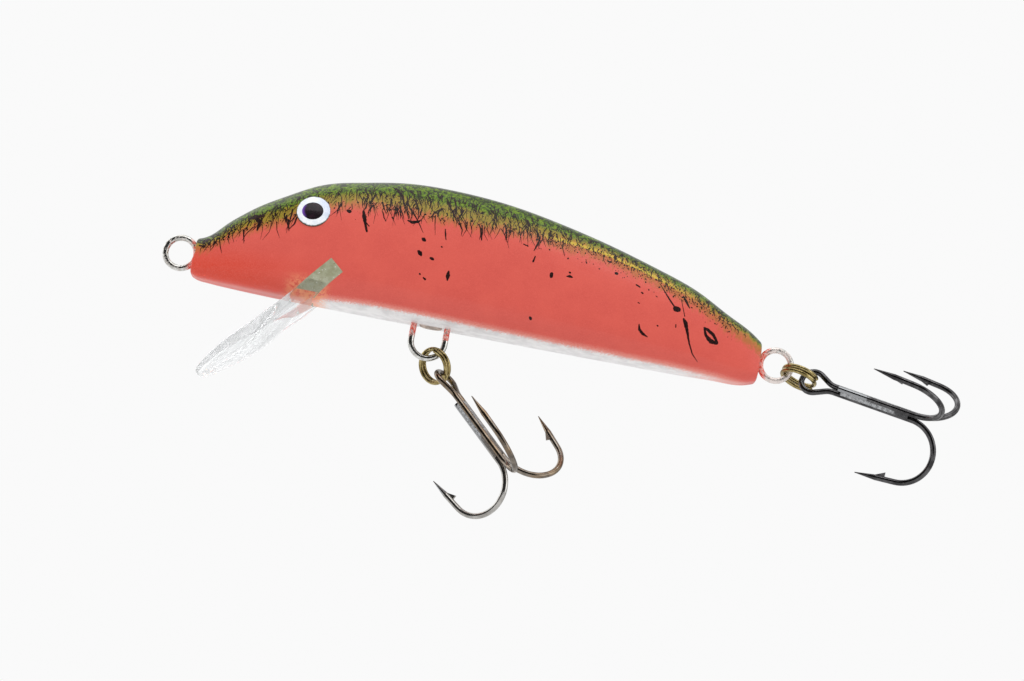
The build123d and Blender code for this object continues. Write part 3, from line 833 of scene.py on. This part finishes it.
def add_specks(verts, faces, side, rng):
    """Specks scattered below the green edge, and a finer spray below the yellow line."""
    for _ in range(SPECKS):
        x = rng.uniform(3, 68)
        reach = float(edge_of_green(x))
        z = float(top_of(x)) - reach - abs(rng.gauss(0.0, 0.7)) + 0.25
        w = rng.uniform(0.025, 0.08) * (0.6 if rng.random() < 0.7 else 1.3)
        a = rng.uniform(0, math.pi)
        end = (x + math.cos(a) * w, z + math.sin(a) * w)
        add_stroke(verts, faces, [(x, z), end], [w, w * 0.8], side, rng)
    for _ in range(FINE_SPECKS):
        x = rng.uniform(42, 67)
        z = float(top_of(x)) - float(edge_of_green(x)) - abs(rng.gauss(0.0, 0.75)) - 0.1
        w = rng.uniform(0.03, 0.085) * (0.6 if rng.random() < 0.6 else 1.0)
        add_stroke(verts, faces, [(x, z), (x + w * 0.5, z - w)], [w, w * 0.8], side, rng)


def build_flecks():
    """All the black paint that stands on the lacquer, as one thin piece."""
    rng = random.Random(7)
    verts, faces = [], []
    for path, widths in STROKES:
        points = [seen(x, z) for x, z in path]
        add_stroke(verts, faces, points, widths, -1, rng)
        # the other flank is sprayed from the same brush, but not as a mirror image
        dx, dz = rng.uniform(-2.4, 2.4), rng.uniform(-0.35, 0.35)
        moved = []
        for x, z in points:
            drop = 0.25 * abs(dx) if x > 50 else 0
            moved.append((min(69.5, max(3.2, x + dx)), z + dz - drop))
        add_stroke(verts, faces, moved, widths, 1, rng)
    for side in (-1, 1):
        add_hairs(verts, faces, side, rng)
        add_specks(verts, faces, side, rng)
    obj = new_object("paint_flecks", verts, faces, fleck_material())
    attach(obj, "lure_body")


# ---------------------------------------------------------------- diving lip

LIP_HEEL = np.array([18.35, 0.0, 1.85])
LIP_ANGLE = math.radians(49.5)
LIP_DOWN = np.array([-math.cos(LIP_ANGLE), 0.0, -math.sin(LIP_ANGLE)])
LIP_BACK = np.array([math.sin(LIP_ANGLE), 0.0, -math.cos(LIP_ANGLE)])
LIP_SEAT, LIP_ROOT_T, LIP_TIP_T = 6.6, 2.04, 0.5
LIP_CUP_AT, LIP_CUP_R, LIP_CUP_DEPTH = 14.2, 6.3, 1.1
TONGUE_END, TONGUE_HALF = 7.2, 4.45
TIP_START, TIP_HALF, TIP_LENGTH = 19.9, 3.9, 1.0
LIP_SOFT = 0.25
# distance down the blade and half width, from the tongue to the tip's start
LIP_WIDTHS = np.array([
    (0.0, TONGUE_HALF), (TONGUE_END, TONGUE_HALF), (9.0, 4.72), (11.0, 5.35), (12.8, 5.92),
    (14.6, 6.2), (16.2, 6.18), (17.6, 5.9), (18.9, 5.05), (TIP_START, TIP_HALF), (20.5, 2.6),
])


def cup(s, y):
    """How far the blade is dished towards its back at a point of its plane."""
    away = ((s - LIP_CUP_AT) ** 2 + y**2) / LIP_CUP_R**2
    return LIP_CUP_DEPTH * max(0.0, 1.0 - away)


def lip_thickness(s):
    """Even along the tongue, then a straight taper to the tip."""
    past_seat = max(0.0, s - LIP_SEAT) / (TIP_START + TIP_LENGTH - LIP_SEAT)
    return LIP_ROOT_T + (LIP_TIP_T - LIP_ROOT_T) * past_seat


def lip_side():
    """Distance down the blade and half width, as fine points."""
    curve = natural_spline(LIP_WIDTHS[:, 0], LIP_WIDTHS[:, 1])
    side = [(s, TONGUE_HALF) for s in np.linspace(0.0, TONGUE_END, 16)]
    side += [(s, float(curve(s))) for s in np.linspace(TONGUE_END, TIP_START, 60)[1:]]
    # the tip closes as a quarter of an ellipse
    for a in np.radians(np.linspace(0, 90, 16))[1:-1]:
        side.append((TIP_START + TIP_LENGTH * math.sin(a), TIP_HALF * math.cos(a)))
    return side


def build_lip():
    """A clear wedge, dished like a spoon, with softened edges."""
    side = lip_side()
    across = np.sin(np.radians(np.linspace(-90, 90, 49)))
    front, behind = [], []
    for s, w in side:
        from_end = min(1.0, (side[-1][0] + 0.12 - s) / LIP_SOFT)
        t = lip_thickness(s)
        for f in across:
            y = f * w
            from_edge = min(1.0, (w - abs(y)) / LIP_SOFT, from_end)
            bevel = 1 - math.sqrt(max(0.0, 1 - (1 - from_edge) ** 2))
            r = min(LIP_SOFT, t * 0.42) * bevel
            front.append((s, y, cup(s, y) + r))
            behind.append((s, y, cup(s, y) + t - r))
    verts = []
    for s, y, t in front + behind:
        verts.append(LIP_HEEL + LIP_DOWN * s + LIP_BACK * t + np.array([0, y, 0]))
    columns, rows = len(across), len(side)
    shift = columns * rows
    front_faces = grid_faces(rows, columns)
    faces = front_faces + [tuple(q + shift for q in reversed(face)) for face in front_faces]
    for i in range(rows - 1):
        for j in (0, columns - 1):
            a = i * columns + j
            faces.append((a, a + columns, a + columns + shift, a + shift))
    for i in (0, rows - 1):
        for j in range(columns - 1):
            a = i * columns + j
            faces.append((a, a + 1, a + 1 + shift, a + shift))
    obj = recalc(new_object("lip_blade", verts, faces, clear_material()))
    mod = obj.modifiers.new("edges", "EDGE_SPLIT")
    mod.split_angle = math.radians(32)
    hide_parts("diving_lip")
    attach(obj, "lure_body")


SLOT_GAP = 0.08
SLOT_LOWEST = -2.25


def build_slot_face(side, material):
    """The tongue's end and its glue, seen flush in the flank as a greenish window."""
    columns, rows = 13, 27
    verts = []
    for s in np.linspace(-SLOT_GAP, 5.6 - SLOT_GAP, rows):
        for t in np.linspace(-SLOT_GAP, 2.2 - SLOT_GAP, columns):
            p = LIP_HEEL + LIP_DOWN * s + LIP_BACK * t
            verts.append(shell_point(p[0], max(p[2], SLOT_LOWEST), side, 0.02))
    name = "slot_face_left" if side < 0 else "slot_face_right"
    obj = recalc(new_object(name, verts, grid_faces(rows, columns), material))
    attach(obj, "lure_body")


# ---------------------------------------------------------------- eyes


EYE_R = 2.07
PUPIL_LONG, PUPIL_TALL = 1.30, 1.20
DOME_AROUND, DOME_RINGS = 96, 26
# the dome's crown ends at this share of its rings and of its radius; its edge then rolls over
CROWN_RINGS, CROWN_R = 0.86, 0.93


def dome_profile(radius, base, edge, crown):
    """Share of the radius and height above the disc's plane, from the middle outwards."""
    roll = 1 - CROWN_R
    profile = []
    for i in range(DOME_RINGS + 1):
        f = i / DOME_RINGS
        if f <= CROWN_RINGS:
            inwards = f / CROWN_RINGS
            profile.append((inwards * CROWN_R, edge + crown * (1 - inwards**2)))
        else:
            a = (f - CROWN_RINGS) / (1 - CROWN_RINGS) * math.pi / 2
            height = edge - roll * radius * (1 - math.cos(a))
            profile.append((CROWN_R + roll * math.sin(a), height))
    profile.append((1.0, base))
    return profile


def build_dome(name, plane, centre, radii, profile, material, node):
    """An oval dome on a plane given by its origin and three directions."""
    at, u, v, n = plane
    verts, shares = [], []
    for share, height in profile:
        for k in range(DOME_AROUND):
            a = 2 * math.pi * k / DOME_AROUND
            along = centre[0] + radii[0] * share * math.cos(a)
            up = centre[1] + radii[1] * share * math.sin(a)
            verts.append(at + u * along + v * up + n * height)
            shares.append(share)
    faces = grid_faces(len(profile), DOME_AROUND, closed=True)
    obj = new_object(name, verts, faces, material)
    add_attribute(obj, "radius", shares)
    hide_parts(node)
    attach(obj, "lure_body")
    return obj


def build_eye(side):
    """A domed white disc and a domed pupil let into it."""
    mirror = np.array([1.0, -side, 1.0])
    at, n = EYE_AT * mirror, EYE_NORMAL * mirror
    u = unit(np.array([1.0, 0, 0]) - n * n[0])
    plane = (at, u, np.cross(n, u), n)
    tag = "left" if side < 0 else "right"
    white = build_dome("eye_dome_" + tag, plane, (0, 0), (EYE_R, EYE_R),
                       dome_profile(EYE_R, -0.30, 0.10, 0.10), eye_material(side), tag + "_eye_disc")
    black = build_dome("pupil_dome_" + tag, plane, (-0.08, -0.05), (PUPIL_LONG, PUPIL_TALL),
                       dome_profile(PUPIL_LONG, 0.10, 0.215, 0.05), pupil_material(side), tag + "_pupil")


# ---------------------------------------------------------------- build everything

EPOXY = epoxy_material()
build_skin()
build_flecks()
build_lip()
for flank_side in (-1, 1):
    build_slot_face(flank_side, EPOXY)
    build_eye(flank_side)

# dark and light tone of a hook's plating
BRONZED = ((92, 85, 78), (138, 130, 120))
SILVERED = ((150, 148, 144), (190, 188, 184))
BLACKENED = ((56, 55, 56), (94, 93, 94))
# where each hook's eye is and which way its shank runs; each prong's tones and share of brown;
# how far bare metal reaches down the single prong and down the brazing
HOOKS = {
    "belly_hook": {
        "eye": (33.237, 0.023, -8.386), "along": (0.651, -0.376, -0.659),
        "double": (BRONZED, 0.7), "single": (SILVERED, 0.12), "bare": 12.5, "braze": 11.0,
    },
    "tail_hook": {
        "eye": (76.523, 0.227, -0.613), "along": (0.9249, -0.3183, -0.2077),
        "double": (BLACKENED, 0.0), "single": (BLACKENED, 0.0), "bare": 9.0, "braze": 12.4,
    },
}
WIRE = wire_material()
BRASS = ring_material()
BALSA = balsa_material()
LEAD = plain_detail("lead", srgb(96, 98, 104), srgb(70, 72, 78), 1.2, 0.5, 0.8, 0.06)
FILLER = plain_detail("grey_filler", srgb(196, 180, 168), srgb(150, 136, 126), 2.0, 0.5, 0.0, 0.1)
finishes = {
    "body_left_half": BALSA,
    "body_right_half": BALSA,
    "through_wire": WIRE,
    "belly_hanger": WIRE,
    "ballast_weight": LEAD,
    "weight_filler": FILLER,
    "lip_epoxy": EPOXY,
    "belly_split_ring": BRASS,
    "tail_split_ring": BRASS,
}
for name, hook in HOOKS.items():
    shank = (hook["eye"], hook["along"])
    for prong, bare in (("_double", 0), ("_single", hook["bare"])):
        plating = hook[prong.strip("_")] + (bare,)
        finishes[name + prong] = hook_material(name + prong + "_nickel", *shank, *plating)
    tones = hook["double"][0]
    finishes[name + "_braze"] = braze_material(name + "_brazing", *shank, tones, hook["braze"])
for name, material in finishes.items():
    node = nodes[name]
    node.data.materials.clear()
    node.data.materials.append(material)

# ---------------------------------------------------------------- stage, light, camera


FLOOR_Z = -330.0
FLOOR_HALF = 1500.0
FLOOR_POINTS = 7


def build_stage():
    """A plain pale floor far under the lure."""
    edge = np.linspace(-FLOOR_HALF, FLOOR_HALF, FLOOR_POINTS)
    verts = [(x, y, FLOOR_Z) for y in edge for x in edge]
    s = Shader("paper_floor")
    s.set("Base Color", s.mix(s.noise(0.01, 2), srgb(250, 250, 250), srgb(246, 246, 247)))
    s.set("Roughness", 0.9)
    new_object("stage_floor", verts, grid_faces(FLOOR_POINTS, FLOOR_POINTS), s.material)


BACKDROP = 0.955
OPENING_TURN = math.radians(30.0)


def build_world():
    """A bright tent: an opening at the lens for the soft light, and for what the glossy parts
    mirror a dark opening up and to the left of the lens, with seams between the cloths."""
    world = bpy.data.worlds.new("tent")
    world.use_nodes = True
    scene.world = world
    tree = world.node_tree
    tree.nodes.clear()

    def node(kind, **settings):
        made = tree.nodes.new(kind)
        for key, value in settings.items():
            setattr(made, key, value)
        return made

    where = node("ShaderNodeTexCoord").outputs["Generated"]

    def nearness(direction):
        """1 straight towards the direction, 0 straight away from it."""
        dot = node("ShaderNodeVectorMath", operation="DOT_PRODUCT")
        dot.inputs[1].default_value = tuple(direction)
        tree.links.new(where, dot.inputs[0])
        half = node("ShaderNodeMath", operation="MULTIPLY_ADD")
        half.inputs[1].default_value = 0.5
        half.inputs[2].default_value = 0.5
        tree.links.new(dot.outputs["Value"], half.inputs[0])
        return half.outputs[0]

    def levels(value, stops):
        """Brightness by value, from pairs of place and level."""
        ramp = node("ShaderNodeValToRGB")
        while len(ramp.color_ramp.elements) < len(stops):
            ramp.color_ramp.elements.new(0.5)
        for element, (place, level) in zip(ramp.color_ramp.elements, stops):
            element.position = place
            element.color = (level, level, level, 1.0)
        tree.links.new(value, ramp.inputs[0])
        return ramp.outputs[0]

    def choose(switch, off, on):
        """One look of the tent for most rays, another for the rays of one kind."""
        made = node("ShaderNodeMix", data_type="RGBA")
        tree.links.new(switch, made.inputs[0])
        tree.links.new(off, made.inputs[6])
        if isinstance(on, float):
            made.inputs[7].default_value = (on, on, on, 1.0)
        else:
            tree.links.new(on, made.inputs[7])
        return made.outputs[2]

    even = levels(nearness(TOWARDS), [
        (0.0, BACKDROP), (0.42, BACKDROP), (0.62, 1.12), (0.84, 1.05), (0.96, 0.55), (1.0, 0.5),
    ])
    up_left = (UPWARD - RIGHT) / math.sqrt(2)
    opening = TOWARDS * math.cos(OPENING_TURN) + up_left * math.sin(OPENING_TURN)
    mirrored = levels(nearness(opening), [
        (0.0, 0.9), (0.30, 1.2), (0.54, 2.5), (0.66, 1.5), (0.76, 0.08), (1.0, 0.04),
    ])
    seams = node("ShaderNodeTexNoise")
    seams.inputs["Scale"].default_value = 1.9
    seams.inputs["Detail"].default_value = 1.0
    tree.links.new(where, seams.inputs["Vector"])
    cloth = levels(seams.outputs[0], [(0.0, 0.12), (0.42, 0.15), (0.50, 1.0), (1.0, 1.1)])
    in_gloss = node("ShaderNodeMix", data_type="RGBA", blend_type="MULTIPLY")
    in_gloss.inputs[0].default_value = 0.62
    tree.links.new(mirrored, in_gloss.inputs[6])
    tree.links.new(cloth, in_gloss.inputs[7])
    ray = node("ShaderNodeLightPath")
    lit = choose(ray.outputs["Is Glossy Ray"], even, in_gloss.outputs[2])
    shown = choose(ray.outputs["Is Camera Ray"], lit, BACKDROP)
    back = node("ShaderNodeBackground")
    back.inputs["Strength"].default_value = 1.0
    tree.links.new(shown, back.inputs["Color"])
    tree.links.new(back.outputs[0], node("ShaderNodeOutputWorld").inputs[0])


def build_key_light():
    """A wide soft light above and in front of the left flank."""
    light = bpy.data.lights.new("key", "AREA")
    light.shape = "RECTANGLE"
    light.size = 300 * MM
    light.size_y = 160 * MM
    light.energy = 0.35
    obj = bpy.data.objects.new("key", light)
    scene.collection.objects.link(obj)
    at, target = Vector((20, -200, 340)) * MM, Vector((40, 0, 0)) * MM
    obj.location = at
    obj.rotation_mode = "QUATERNION"
    obj.rotation_quaternion = (target - at).to_track_quat("-Z", "Y")


def build_camera():
    """The camera at the viewpoint, with a longish lens."""
    lens = bpy.data.cameras.new("camera")
    lens.lens = 100.0
    lens.sensor_width = 36.0
    lens.clip_start = 0.01
    lens.clip_end = 10.0
    camera = bpy.data.objects.new("camera", lens)
    scene.collection.objects.link(camera)
    place = (AFT * AIM_X + UP * AIM_UP + TOWARDS * DISTANCE) * MM
    pose = Matrix.Identity(4)
    for row in range(3):
        pose[row][:] = RIGHT[row], UPWARD[row], TOWARDS[row], place[row]
    camera.matrix_world = pose
    scene.camera = camera


build_stage()
build_world()
build_key_light()
build_camera()
scene.view_settings.view_transform = "Standard"
scene.view_settings.look = "None"
scene.view_settings.exposure = 0.0
scene.view_settings.gamma = 1.0
